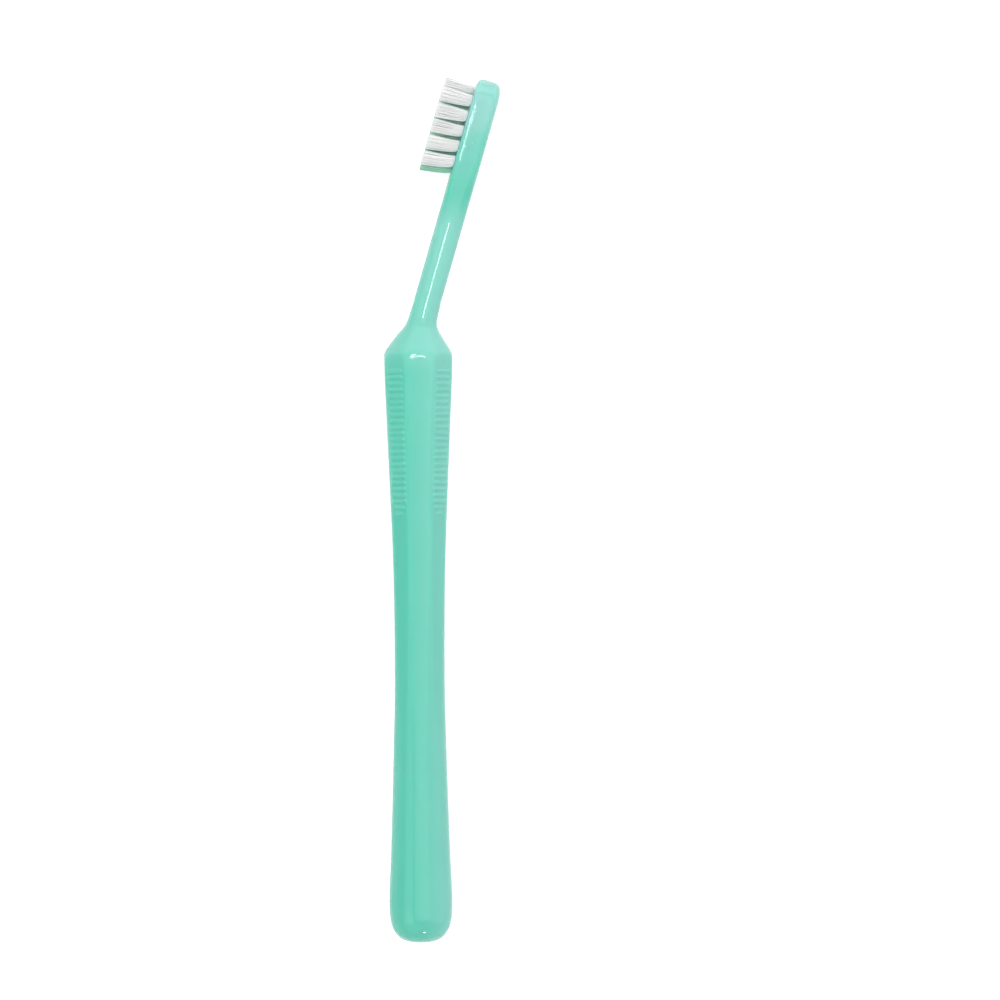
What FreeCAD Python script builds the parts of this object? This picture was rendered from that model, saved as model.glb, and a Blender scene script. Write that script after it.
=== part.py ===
import FreeCAD, Part
import math
import os
import Sketcher

# Manual toothbrush lying on its side. The grip's axis runs along +Y from the butt to the shoulder,
# the neck and head lean towards +X, the bristles point towards -X, and +Z is up from the surface
# that the brush lies on. Lengths are in millimetres and angles in degrees.

# Round profile of the grip. Each length starts where the one above it ends.
GRIP_SIZES = {
    "butt_crown_radius": 6.15,
    "butt_crown_rise": 1.2,
    "butt_fillet": 4.2,
    "bulge_station": 9.0,
    "bulge_radius": 6.95,
    "flank_length": 9.5,
    "flank_radius": 6.58,
    "waist_length": 39.5,
    "waist_radius": 5.66,
    "swell_length": 35.0,
    "taper_foot_radius": 6.39,
    "taper_length": 36.7,
    "taper_hollow": 0.08,
    "shoulder_radius": 8.05,
    "shoulder_fillet": 3.0,
    "cone_height": 8.19,
    "cone_top_radius": 1.5,
}

# Long facets are sunk below the round profile, and fade out past the waist.
FACET_SIZES = {
    "facet_fade_length": 14.0,
    "facet_fade_rise": 0.4,
    "facet_waist_depth": 0.17,
    "facet_foot_depth": 0.34,
    "facet_shoulder_depth": 0.43,
    "facet_overrun": 3.0,
}

# Finger ribs stand on the four facets that lie between the flat sides.
RIB_SIZES = {
    "rib_top_distance": 3.6,
    "rib_pitch": 1.362,
    "rib_width": 0.72,
    "rib_height": 0.25,
    "rib_root": 0.1,
    "rib_length": 4.7,
}

# The neck leans away from the grip's axis at the bend, and the head is a plate in line with it.
HEAD_SIZES = {
    "bend_rise": 4.1,
    "bend_angle": 16.3,
    "neck_radius": 2.95,
    "neck_blend": 7.0,
    "neck_root_length": 3.0,
    "flare_start": 25.0,
    "flare_length": 11.5,
    "head_width": 10.6,
    "head_thickness": 5.9,
    "head_tip": 58.1,
    "head_front_fillet": 0.8,
    "head_back_fillet": 2.2,
}

# Bristle holes stand in three staggered columns along the head.
TUFT_SIZES = {
    "field_middle": 46.0,
    "middle_column_shift": 0.35,
    "tuft_pitch": 3.45,
    "column_spacing": 3.0,
    "hole_radius": 1.2,
    "hole_depth": 3.3,
    "tuft_clearance": 0.03,
    "bristle_height": 6.8,
    "tuft_tip_radius": 1.65,
    "tuft_lean": 0.95,
    "anchor_thickness": 0.3,
    "anchor_height": 1.6,
    "anchor_width": 2.7,
    "anchor_fold": 0.4,
}

FACET_COUNT = 8
RIB_PANEL_COUNT = 4
FULL_RIB_COUNT = 21
# The last ribs of each panel are shorter, so that the panel ends in a curve.
END_RIB_SHARES = (0.94, 0.78, 0.5)
# Each column of tufts: its name, how many stand in it, and its side of the head.
COLUMNS = (("near", 5, 1), ("middle", 6, 0), ("far", 5, -1))
# How near an edge lies to where it is looked for, as a share of the rounding that it gets.
MATCH_SHARE = 0.03

doc = FreeCAD.newDocument("toothbrush")
sheet = doc.addObject("Spreadsheet::Sheet", "sizes")
ALL_SIZES = {**GRIP_SIZES, **FACET_SIZES, **RIB_SIZES, **HEAD_SIZES, **TUFT_SIZES}
for row, (alias, value) in enumerate(ALL_SIZES.items(), start=1):
    sheet.set(f"A{row}", alias)
    sheet.set(f"B{row}", str(value))
    sheet.setAlias(f"B{row}", alias)
doc.recompute()


# A size that carries its number and its formula on the sheet through a sum.
class Measure:
    def __init__(self, number, formula):
        self.number = number
        self.formula = formula

    def __add__(self, other):
        return Measure(self.number + other.number, f"({self.formula} + {other.formula})")

    def __sub__(self, other):
        return Measure(self.number - other.number, f"({self.formula} - {other.formula})")

    def __mul__(self, other):
        if isinstance(other, Measure):
            return Measure(self.number * other.number, f"({self.formula} * {other.formula})")
        return Measure(self.number * other, f"({self.formula} * {other})")

    def __truediv__(self, other):
        return Measure(self.number / other.number, f"({self.formula} / {other.formula})")

    def __neg__(self):
        return Measure(-self.number, f"-{self.formula}")


def size(alias):
    return Measure(float(sheet.get(alias)), f"sizes.{alias}")


def bind(item, name, measure):
    item.setExpression(name, measure.formula)


def half(measure):
    return measure * 0.5


BULGE_STATION = size("bulge_station")
FLANK_STATION = BULGE_STATION + size("flank_length")
WAIST_STATION = FLANK_STATION + size("waist_length")
FOOT_STATION = WAIST_STATION + size("swell_length")
SHOULDER_STATION = FOOT_STATION + size("taper_length")
CONE_TOP_STATION = SHOULDER_STATION + size("cone_height")
BEND_STATION = SHOULDER_STATION + size("bend_rise")


def add_body(name):
    body = doc.addObject("PartDesign::Body", name)
    body.Label = name
    return body


def add_sketch(body, name, role):
    sketch = body.newObject("Sketcher::SketchObject", name)
    plane = next(item for item in body.Origin.OriginFeatures if item.Role == role)
    sketch.AttachmentSupport = [(plane, "")]
    sketch.MapMode = "FlatFace"
    return sketch


# A feature that works on one sketch of the body.
def add_feature(body, kind, name, sketch):
    feature = body.newObject(kind, name)
    feature.Profile = sketch
    sketch.Visibility = False
    return feature


def vector(across, along):
    return FreeCAD.Vector(across, along, 0)


def spot(corner):
    return vector(*(measure.number if measure else 0 for measure in corner))


# A point takes its two formulas, and a coordinate without one is held on the sketch's axis.
def hold_point(sketch, item, end, corner):
    axis_items = (-2, -1)
    for kind, measure, axis_item in zip(("DistanceX", "DistanceY"), corner, axis_items):
        if measure is None:
            sketch.addConstraint(Sketcher.Constraint("PointOnObject", item, end, axis_item))
            continue
        rule = sketch.addConstraint(Sketcher.Constraint(kind, -1, 1, item, end, measure.number))
        bind(sketch, f"Constraints[{rule}]", measure)


def line(start, end):
    return Part.LineSegment(spot(start), spot(end))


# An arc whose tangent at the level corner runs along the sketch's vertical axis.
def upright_arc(start, end, level):
    other = spot(end) if level is start else spot(start)
    step = other - spot(level)
    radius = step.Length ** 2 / (2 * abs(step.x))
    centre = spot(level) + vector(math.copysign(radius, step.x), 0)
    middle = (spot(start) + spot(end)) * 0.5
    away = (middle - centre).normalize()
    return Part.Arc(spot(start), centre + away * radius, spot(end))


# Which end of a sketched item lies at a corner: 1 for its start and 2 for its end.
def end_at(sketch, item, corner):
    gaps = [sketch.getPoint(item, end).distanceToPoint(spot(corner)) for end in (1, 2)]
    return 1 + gaps.index(min(gaps))


# A closed outline through the corners. Each piece is a shape from one corner to the next.
def add_outline(sketch, corners, pieces):
    items = [sketch.addGeometry(piece, False) for piece in pieces]
    for corner, item, before in zip(corners, items, items[-1:] + items[:-1]):
        meeting = (before, end_at(sketch, before, corner), item, end_at(sketch, item, corner))
        sketch.addConstraint(Sketcher.Constraint("Coincident", *meeting))
        hold_point(sketch, item, end_at(sketch, item, corner), corner)
    return items


def level_arc(sketch, item, corner):
    centre = 3
    end = end_at(sketch, item, corner)
    sketch.addConstraint(Sketcher.Constraint("Horizontal", item, centre, item, end))


# The radius of an arc over a chord, from half the chord squared and the arc's rise above it.
def arc_radius(half_chord_squared, rise):
    return (half_chord_squared + rise * rise) / (rise * 2)


def hold_radius(sketch, item, radius):
    rule = sketch.addConstraint(Sketcher.Constraint("Radius", item, radius.number))
    bind(sketch, f"Constraints[{rule}]", radius)


# The edges of a shape that a test on the edge picks out.
def edge_names(shape, test):
    return [f"Edge{number}" for number, edge in enumerate(shape.Edges, start=1) if test(edge)]


def add_fillet(body, name, test, radius):
    base = body.Tip
    tolerance = radius.number * MATCH_SHARE
    names = edge_names(base.Shape, lambda edge: test(edge, tolerance))
    fillet = body.newObject("PartDesign::Fillet", name)
    fillet.Base = (base, names)
    bind(fillet, "Radius", radius)
    doc.recompute()
    return fillet


# A test for the round edge about the grip's axis that passes through a corner of the profile.
def ring_test(corner):
    radius, station = (measure.number for measure in corner)

    def is_ring(edge, tolerance):
        reach = max(math.hypot(vertex.X, vertex.Z) for vertex in edge.Vertexes)
        return abs(edge.CenterOfMass.y - station) < tolerance and abs(reach - radius) < tolerance

    return is_ring


# The grip turned round its axis, with the butt's crown, the waist, the taper and the shoulder's cone.
def add_grip(body):
    sketch = add_sketch(body, "grip_profile", "XY_Plane")
    butt = (None, None)
    crown = (size("butt_crown_radius"), size("butt_crown_rise"))
    bulge = (size("bulge_radius"), BULGE_STATION)
    flank = (size("flank_radius"), FLANK_STATION)
    waist = (size("waist_radius"), WAIST_STATION)
    foot = (size("taper_foot_radius"), FOOT_STATION)
    shoulder = (size("shoulder_radius"), SHOULDER_STATION)
    cone_top = (size("cone_top_radius"), CONE_TOP_STATION)
    cone_middle = (None, CONE_TOP_STATION)
    corners = [butt, crown, bulge, flank, waist, foot, shoulder, cone_top, cone_middle]
    crown_radius = spot(crown).Length ** 2 / (2 * spot(crown).y)
    crown_share = 0.5
    turn = math.asin(spot(crown).x / crown_radius) * crown_share
    crown_middle = vector(math.sin(turn) * crown_radius, crown_radius - math.cos(turn) * crown_radius)
    taper_rise = size("shoulder_radius") - size("taper_foot_radius")
    taper_run = size("taper_length")
    half_taper_squared = (taper_rise * taper_rise + taper_run * taper_run) * 0.25
    taper_middle = (spot(foot) + spot(shoulder)) * 0.5 - vector(size("taper_hollow").number, 0)
    pieces = [
        Part.Arc(spot(butt), crown_middle, spot(crown)),
        upright_arc(crown, bulge, bulge),
        upright_arc(bulge, flank, bulge),
        upright_arc(flank, waist, waist),
        upright_arc(waist, foot, waist),
        Part.Arc(spot(foot), taper_middle, spot(shoulder)),
        line(shoulder, cone_top),
        line(cone_top, cone_middle),
        line(cone_middle, butt),
    ]
    items = add_outline(sketch, corners, pieces)
    sketch.addConstraint(Sketcher.Constraint("PointOnObject", items[0], 3, -2))
    for item, corner in ((items[1], bulge), (items[2], bulge), (items[3], waist), (items[4], waist)):
        level_arc(sketch, item, corner)
    hold_radius(sketch, items[5], arc_radius(half_taper_squared, size("taper_hollow")))
    turned = add_feature(body, "PartDesign::Revolution", "grip_turned", sketch)
    turned.ReferenceAxis = (sketch, ["V_Axis"])
    doc.recompute()
    add_fillet(body, "butt_round", ring_test(crown), size("butt_fillet"))
    add_fillet(body, "shoulder_round", ring_test(shoulder), size("shoulder_fillet"))


# One facet cut from the side, and turned round the axis to the others.
def add_facets(body):
    sketch = add_sketch(body, "facet_profile", "XY_Plane")
    outside = size("shoulder_radius") + size("facet_overrun")
    waist_across = size("waist_radius") - size("facet_waist_depth")
    fade = (waist_across + size("facet_fade_rise"), WAIST_STATION - size("facet_fade_length"))
    waist = (waist_across, WAIST_STATION)
    foot = (size("taper_foot_radius") - size("facet_foot_depth"), FOOT_STATION)
    shoulder = (size("shoulder_radius") - size("facet_shoulder_depth"), SHOULDER_STATION)
    top = (shoulder[0], SHOULDER_STATION + size("facet_overrun"))
    corners = [fade, waist, foot, shoulder, top, (outside, top[1]), (outside, fade[1])]
    pieces = [upright_arc(fade, waist, waist), upright_arc(waist, foot, waist)]
    rest = corners[2:] + corners[:1]
    pieces += [line(start, end) for start, end in zip(rest, rest[1:])]
    items = add_outline(sketch, corners, pieces)
    level_arc(sketch, items[0], waist)
    level_arc(sketch, items[1], waist)
    cut = add_feature(body, "PartDesign::Pocket", "facet_cut", sketch)
    cut.SideType = "Symmetric"
    bind(cut, "Length", outside * 2)
    pattern = body.newObject("PartDesign::PolarPattern", "facet_ring")
    pattern.Originals = [cut]
    pattern.Axis = (sketch, ["V_Axis"])
    pattern.Occurrences = FACET_COUNT
    body.Tip = pattern
    doc.recompute()


# One rib's cross-section stands on a facet that is turned half a facet's angle from the side.
def add_rib_sketch(body, name, distance):
    sketch = add_sketch(body, name, "XY_Plane")
    turn = FreeCAD.Rotation(vector(0, 1), 360 / FACET_COUNT)
    sketch.AttachmentOffset = FreeCAD.Placement(FreeCAD.Vector(), turn)
    foot_across = size("taper_foot_radius") - size("facet_foot_depth")
    shoulder_across = size("shoulder_radius") - size("facet_shoulder_depth")
    rise = distance / size("taper_length")
    facet_across = shoulder_across - (shoulder_across - foot_across) * rise
    middle = SHOULDER_STATION - distance
    root = facet_across - size("rib_root")
    lower = (root, middle - half(size("rib_width")))
    upper = (root, middle + half(size("rib_width")))
    crest = (facet_across + size("rib_height"), middle)
    arc = sketch.addGeometry(Part.Arc(spot(lower), spot(crest), spot(upper)), False)
    base = sketch.addGeometry(line(upper, lower), False)
    for corner in (lower, upper):
        meeting = (arc, end_at(sketch, arc, corner), base, end_at(sketch, base, corner))
        sketch.addConstraint(Sketcher.Constraint("Coincident", *meeting))
        hold_point(sketch, arc, end_at(sketch, arc, corner), corner)
    half_chord = half(size("rib_width"))
    hold_radius(sketch, arc, arc_radius(half_chord * half_chord, size("rib_root") + size("rib_height")))
    return sketch


def add_rib(body, name, distance, share):
    sketch = add_rib_sketch(body, f"{name}_profile", distance)
    rib = add_feature(body, "PartDesign::Pad", name, sketch)
    rib.SideType = "Symmetric"
    bind(rib, "Length", size("rib_length") * share)
    doc.recompute()
    return rib


# A guide line down a ribbed facet gives the direction in which the ribs follow each other.
def add_rib_guide(body):
    sketch = add_sketch(body, "rib_guide", "XY_Plane")
    turn = FreeCAD.Rotation(vector(0, 1), 360 / FACET_COUNT)
    sketch.AttachmentOffset = FreeCAD.Placement(FreeCAD.Vector(), turn)
    foot = (size("taper_foot_radius") - size("facet_foot_depth"), FOOT_STATION)
    shoulder = (size("shoulder_radius") - size("facet_shoulder_depth"), SHOULDER_STATION)
    item = sketch.addGeometry(line(shoulder, foot), False)
    hold_point(sketch, item, 1, shoulder)
    hold_point(sketch, item, 2, foot)
    sketch.Visibility = False
    return sketch


def add_ribs(body):
    guide = add_rib_guide(body)
    first = add_rib(body, "rib", size("rib_top_distance"), 1)
    panel = body.newObject("PartDesign::MultiTransform", "rib_panels")
    panel.Originals = [first]
    column = body.newObject("PartDesign::LinearPattern", "rib_column")
    column.Direction = (guide, ["Edge1"])
    column.Mode = "Spacing"
    bind(column, "Offset", size("rib_pitch"))
    column.Occurrences = FULL_RIB_COUNT
    ring = body.newObject("PartDesign::PolarPattern", "rib_ring")
    ring.Axis = (guide, ["V_Axis"])
    ring.Occurrences = RIB_PANEL_COUNT
    panel.Transformations = [column, ring]
    body.Tip = panel
    doc.recompute()
    end_ribs = []
    for number, share in enumerate(END_RIB_SHARES):
        distance = size("rib_top_distance") + size("rib_pitch") * (FULL_RIB_COUNT + number)
        end_ribs.append(add_rib(body, f"end_rib_{number + 1}", distance, share))
    end_ring = body.newObject("PartDesign::PolarPattern", "end_rib_ring")
    end_ring.Originals = end_ribs
    end_ring.Axis = (guide, ["V_Axis"])
    end_ring.Occurrences = RIB_PANEL_COUNT
    body.Tip = end_ring
    doc.recompute()


# A sketch in the plane of the head. Its first axis runs along the neck from the bend to the tip,
# its second over the head's width, and the level is how far it stands in front of the middle.
def add_head_sketch(body, name, level=None):
    sketch = add_sketch(body, name, "YZ_Plane")
    lean = size("bend_angle")
    turn = FreeCAD.Rotation(vector(0, 1), -lean.number)
    sketch.AttachmentOffset = FreeCAD.Placement(vector(BEND_STATION.number, 0), turn)
    bind(sketch, "AttachmentOffset.Rotation.Angle", -lean)
    base_formula = BEND_STATION.formula
    if level:
        base_formula = f"{base_formula} + {level.formula} * sin({lean.formula})"
        sketch.setExpression("AttachmentOffset.Base.z", f"-{level.formula} * cos({lean.formula})")
    sketch.setExpression("AttachmentOffset.Base.x", base_formula)
    doc.recompute()
    return sketch


# The head's own directions: up along it, out of its face, and sideways over its width.
def head_directions():
    lean = math.radians(size("bend_angle").number)
    up = FreeCAD.Vector(math.sin(lean), math.cos(lean), 0)
    out = FreeCAD.Vector(-math.cos(lean), math.sin(lean), 0)
    side = FreeCAD.Vector(0, 0, 1)
    return up, out, side


# Where a point along, across and in front of the head's middle lies in the brush's own frame.
def head_point(along, across, front):
    up, out, side = head_directions()
    bend = FreeCAD.Vector(0, BEND_STATION.number, 0)
    return bend + up * along + out * front + side * across


# A piece on the head stands square to its face, with its first axis along the head.
def head_placement(along, across, front):
    up, out, side = head_directions()
    return FreeCAD.Placement(head_point(along, across, front), FreeCAD.Rotation(up, -side, out, "XZY"))


# A sketch square to the neck, at a distance from the bend. Its first axis points to the back of
# the head and its second over the head's width.
def add_neck_sketch(body, name, distance=None):
    sketch = add_sketch(body, name, "XZ_Plane")
    lean = size("bend_angle")
    turn = FreeCAD.Rotation(vector(0, 1), -lean.number)
    sketch.AttachmentOffset = FreeCAD.Placement(FreeCAD.Vector(0, 0, -BEND_STATION.number), turn)
    bind(sketch, "AttachmentOffset.Rotation.Angle", -lean)
    base_formula = BEND_STATION.formula
    if distance:
        base_formula = f"{base_formula} + {distance.formula} * cos({lean.formula})"
        sketch.setExpression("AttachmentOffset.Base.x", f"{distance.formula} * sin({lean.formula})")
    sketch.setExpression("AttachmentOffset.Base.z", f"-({base_formula})")
    return sketch


# The head's plate: straight sides and a half-round tip, with a soft back edge and a crisp front.
def add_head(body):
    sketch = add_head_sketch(body, "head_outline")
    width = half(size("head_width"))
    start = size("flare_start") + size("flare_length")
    round_start = size("head_tip") - width
    corners = [(start, width), (round_start, width), (round_start, -width), (start, -width)]
    tip = vector(size("head_tip").number, 0)
    pieces = [
        line(corners[0], corners[1]),
        Part.Arc(spot(corners[1]), tip, spot(corners[2])),
        line(corners[2], corners[3]),
        line(corners[3], corners[0]),
    ]
    items = add_outline(sketch, corners, pieces)
    centre_rule = ("Vertical", items[1], 3, items[1], end_at(sketch, items[1], corners[1]))
    sketch.addConstraint(Sketcher.Constraint(*centre_rule))
    plate = add_feature(body, "PartDesign::Pad", "head_plate", sketch)
    plate.SideType = "Symmetric"
    bind(plate, "Length", size("head_thickness"))
    doc.recompute()
    up, out, _ = head_directions()
    heel = head_point(start.number, 0, 0)

    def rim_test(side):
        face_point = head_point(0, 0, half(size("head_thickness")).number * side)

        def is_rim(edge, tolerance):
            offsets = [(vertex.Point - face_point).dot(out) for vertex in edge.Vertexes]
            beyond_heel = (edge.CenterOfMass - heel).dot(up) > tolerance
            return beyond_heel and all(abs(offset) < tolerance for offset in offsets)

        return is_rim

    add_fillet(body, "head_back_round", rim_test(-1), size("head_back_fillet"))
    add_fillet(body, "head_front_round", rim_test(1), size("head_front_fillet"))


# One cross-section of the flare, from nearly round at the neck to the head's own section.
def add_flare_section(body, number, share, width_share):
    distance = size("flare_start") + size("flare_length") * share
    sketch = add_neck_sketch(body, f"flare_section_{number}", distance)

    def between(low, high, part):
        return low + (high - low) * part

    neck = size("neck_radius")
    round_share = 0.98
    neck_corner = neck * round_share
    width = between(neck, half(size("head_width")), width_share)
    thickness = between(neck, half(size("head_thickness")), share)
    front = between(neck_corner, size("head_front_fillet"), share)
    back = between(neck_corner, size("head_back_fillet"), share)
    corners = [
        (thickness - back, width),
        (thickness, width - back),
        (thickness, back - width),
        (thickness - back, -width),
        (front - thickness, -width),
        (-thickness, front - width),
        (-thickness, width - front),
        (front - thickness, width),
    ]
    starts = corners[0::2]
    ends = corners[1::2]
    radii = (back.number, back.number, front.number, front.number)
    sides = ((1, 1), (1, -1), (-1, -1), (-1, 1))
    pieces = []
    for start, end, following, radius, side in zip(starts, ends, starts[1:] + starts[:1], radii, sides):
        centre = vector(side[0] * (thickness.number - radius), side[1] * (width.number - radius))
        away = ((spot(start) + spot(end)) * 0.5 - centre).normalize()
        pieces.append(Part.Arc(spot(start), centre + away * radius, spot(end)))
        pieces.append(line(end, following))
    items = add_outline(sketch, corners, pieces)
    # The end of each corner arc on a side of the head lies straight beside the arc's centre.
    side_ends = (starts[0], ends[1], starts[2], ends[3])
    for item, corner in zip(items[0::2], side_ends):
        rule = ("Vertical", item, 3, item, end_at(sketch, item, corner))
        sketch.addConstraint(Sketcher.Constraint(*rule))
    return sketch


# The neck widens into the head through a smooth skin over its cross-sections.
def add_flare(body):
    width_shares = (0.0, 0.125, 0.5, 0.875, 1.0)
    steps = len(width_shares) - 1
    sections = []
    for number, width_share in enumerate(width_shares):
        sections.append(add_flare_section(body, number + 1, number / steps, width_share))
    doc.recompute()
    flare = add_feature(body, "PartDesign::AdditiveLoft", "flare", sections[0])
    flare.Sections = sections[1:]
    doc.recompute()


# The round neck runs from inside the shoulder's cone to the flare.
def add_neck(body):
    sketch = add_neck_sketch(body, "neck_profile")
    ring = Part.Circle(FreeCAD.Vector(), FreeCAD.Vector(0, 0, 1), size("neck_radius").number)
    item = sketch.addGeometry(ring, False)
    sketch.addConstraint(Sketcher.Constraint("Coincident", item, 3, -1, 1))
    hold_radius(sketch, item, size("neck_radius"))
    neck = add_feature(body, "PartDesign::Pad", "neck", sketch)
    neck.Reversed = True
    neck.SideType = "Two sides"
    bind(neck, "Length", size("flare_start"))
    bind(neck, "Length2", size("neck_root_length"))
    doc.recompute()


# The shoulder's cone runs up into the neck in a hollow curve.
def add_neck_blend(body):
    base = body.Tip.Shape
    reach = size("cone_height").number

    def is_neck_foot(edge, tolerance):
        kinds = {face.Surface.TypeId for face in base.ancestorsOfType(edge, Part.Face)}
        near = abs(edge.CenterOfMass.y - BEND_STATION.number) < reach + tolerance
        return near and kinds == {"Part::GeomCone", "Part::GeomCylinder"}

    add_fillet(body, "neck_blend", is_neck_foot, size("neck_blend"))


# How far along the head the first tuft of a column stands, counted from the handle's side.
def column_start(count, side):
    start = size("field_middle") - size("tuft_pitch") * ((count - 1) / 2)
    return start if side else start + size("middle_column_shift")


# One bristle hole and the slit that its anchor bites into, repeated along each column.
def add_holes(body):
    face_level = half(size("head_thickness"))
    for name, count, side in COLUMNS:
        across = size("column_spacing") if side > 0 else -size("column_spacing")
        centre = (column_start(count, side), across if side else None)
        hole_sketch = add_head_sketch(body, f"hole_profile_{name}", face_level)
        ring = Part.Circle(spot(centre), FreeCAD.Vector(0, 0, 1), size("hole_radius").number)
        item = hole_sketch.addGeometry(ring, False)
        hold_point(hole_sketch, item, 3, centre)
        hold_radius(hole_sketch, item, size("hole_radius"))
        hole = add_feature(body, "PartDesign::Pocket", f"hole_{name}", hole_sketch)
        hole.Reversed = True
        bind(hole, "Length", size("hole_depth"))
        doc.recompute()
        slit_sketch = add_head_sketch(body, f"slit_profile_{name}", face_level)
        low = centre[0] - half(size("anchor_width"))
        high = centre[0] + half(size("anchor_width"))
        middle = size("column_spacing") * side
        near = middle + half(size("anchor_thickness"))
        far = middle - half(size("anchor_thickness"))
        corners = [(low, near), (high, near), (high, far), (low, far)]
        rest = corners[1:] + corners[:1]
        add_outline(slit_sketch, corners, [line(start, end) for start, end in zip(corners, rest)])
        slit = add_feature(body, "PartDesign::Pocket", f"slit_{name}", slit_sketch)
        slit.Reversed = True
        bind(slit, "Length", size("hole_depth") - size("anchor_fold"))
        doc.recompute()
        pattern = body.newObject("PartDesign::LinearPattern", f"column_{name}")
        pattern.Originals = [hole, slit]
        pattern.Direction = (hole_sketch, ["H_Axis"])
        pattern.Mode = "Spacing"
        bind(pattern, "Offset", size("tuft_pitch"))
        pattern.Occurrences = count
        body.Tip = pattern
        doc.recompute()


# The whole moulding: head, neck and grip are one piece of plastic.
def add_handle():
    body = add_body("handle")
    add_head(body)
    add_flare(body)
    add_holes(body)
    add_neck(body)
    add_grip(body)
    add_neck_blend(body)
    add_facets(body)
    add_ribs(body)
    return body


# A round section of a tuft, standing off the head's face and leaning towards the handle.
def add_tuft_section(body, name, radius, height=None, lean=None):
    sketch = add_sketch(body, name, "XY_Plane")
    item = sketch.addGeometry(Part.Circle(vector(0, 0), FreeCAD.Vector(0, 0, 1), radius.number), False)
    sketch.addConstraint(Sketcher.Constraint("Coincident", item, 3, -1, 1))
    hold_radius(sketch, item, radius)
    if height:
        bind(sketch, "AttachmentOffset.Base.z", height)
        bind(sketch, "AttachmentOffset.Base.x", -lean)
    return sketch


# The bundle of bristles: a close root in its hole, spreading towards the tips, and folded at its
# lower end round the anchor, which leaves a slot through the root.
def add_tuft(name, lean_share):
    body = add_body(name)
    root_radius = size("hole_radius") - size("tuft_clearance")
    root_profile = add_tuft_section(body, f"{name}_root_profile", root_radius)
    root = add_feature(body, "PartDesign::Pad", f"{name}_root", root_profile)
    root.Reversed = True
    bind(root, "Length", size("hole_depth"))
    doc.recompute()
    face_section = add_tuft_section(body, f"{name}_face_section", root_radius)
    lean = size("tuft_lean") * lean_share
    tip_section = add_tuft_section(
        body, f"{name}_tip_section", size("tuft_tip_radius"), size("bristle_height"), lean)
    spread = add_feature(body, "PartDesign::AdditiveLoft", f"{name}_spread", face_section)
    spread.Sections = [tip_section]
    doc.recompute()
    slot_profile = add_sketch(body, f"{name}_slot_profile", "YZ_Plane")
    width = half(size("anchor_thickness"))
    low = size("anchor_fold") - size("hole_depth")
    high = low + size("anchor_height")
    corners = [(-width, low), (width, low), (width, high), (-width, high)]
    rest = corners[1:] + corners[:1]
    add_outline(slot_profile, corners, [line(start, end) for start, end in zip(corners, rest)])
    slot = add_feature(body, "PartDesign::Pocket", f"{name}_slot", slot_profile)
    slot.SideType = "Symmetric"
    bind(slot, "Length", size("anchor_width"))
    doc.recompute()
    return body


# A flat metal plate, pressed edge first into the hole, that holds the folded bristles.
def add_anchor(name):
    anchor = doc.addObject("Part::Box", name)
    anchor.Label = name
    bind(anchor, "Length", size("anchor_width"))
    bind(anchor, "Width", size("anchor_thickness"))
    bind(anchor, "Height", size("anchor_height"))
    return anchor


def add_tufts_and_anchors():
    tufts = []
    anchors = []
    face_front = half(size("head_thickness")).number
    longest = max(count for _, count, _ in COLUMNS)
    for column, count, side in COLUMNS:
        across = size("column_spacing").number * side
        for number in range(count):
            steps_down = number + (longest - count) / 2
            first = column_start(count, side).number
            along = first + size("tuft_pitch").number * (count - 1 - number)
            tuft = add_tuft(f"tuft_{column}_{number + 1}", steps_down / (longest - 1))
            tuft.Placement = head_placement(along, across, face_front)
            tufts.append(tuft)
            anchor = add_anchor(f"anchor_{column}_{number + 1}")
            corner = FreeCAD.Vector(
                -half(size("anchor_width")).number,
                -half(size("anchor_thickness")).number,
                (size("anchor_fold") - size("hole_depth")).number,
            )
            place = head_placement(along, across, face_front)
            anchor.Placement = FreeCAD.Placement(place.multVec(corner), place.Rotation)
            anchors.append(anchor)
    return tufts + anchors


# Moves every piece alike, so that the brush lies on the ground plane with its box centred.
def stand_on_ground(pieces):
    box = FreeCAD.BoundBox()
    for piece in pieces:
        box.add(piece.Shape.optimalBoundingBox())
    shift = FreeCAD.Vector(-box.Center.x, -box.Center.y, -box.ZMin)
    print("shift to the ground frame", tuple(round(value, 4) for value in shift))
    for piece in pieces:
        piece.Placement.Base = piece.Placement.Base + shift
    doc.recompute()


def check_document(pieces):
    failed = [item.Name for item in doc.Objects if {"Invalid", "Error"} & set(item.State)]
    if failed:
        raise RuntimeError(f"failed objects: {failed}")
    for piece in pieces:
        if piece.Shape.isNull() or not piece.Shape.isValid() or len(piece.Shape.Solids) != 1:
            raise RuntimeError(f"bad shape: {piece.Label}")


def export(pieces):
    os.makedirs("parts", exist_ok=True)
    for piece in pieces:
        piece.Shape.exportStep(f"parts/{piece.Label}.step")
        print(piece.Label, round(piece.Shape.Volume, 2))


handle = add_handle()
pieces = [handle] + add_tufts_and_anchors()
doc.recompute()
stand_on_ground(pieces)
check_document(pieces)
export(pieces)
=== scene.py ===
import math

import bmesh
import bpy
import numpy as np
from mathutils import Matrix, Vector


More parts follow.
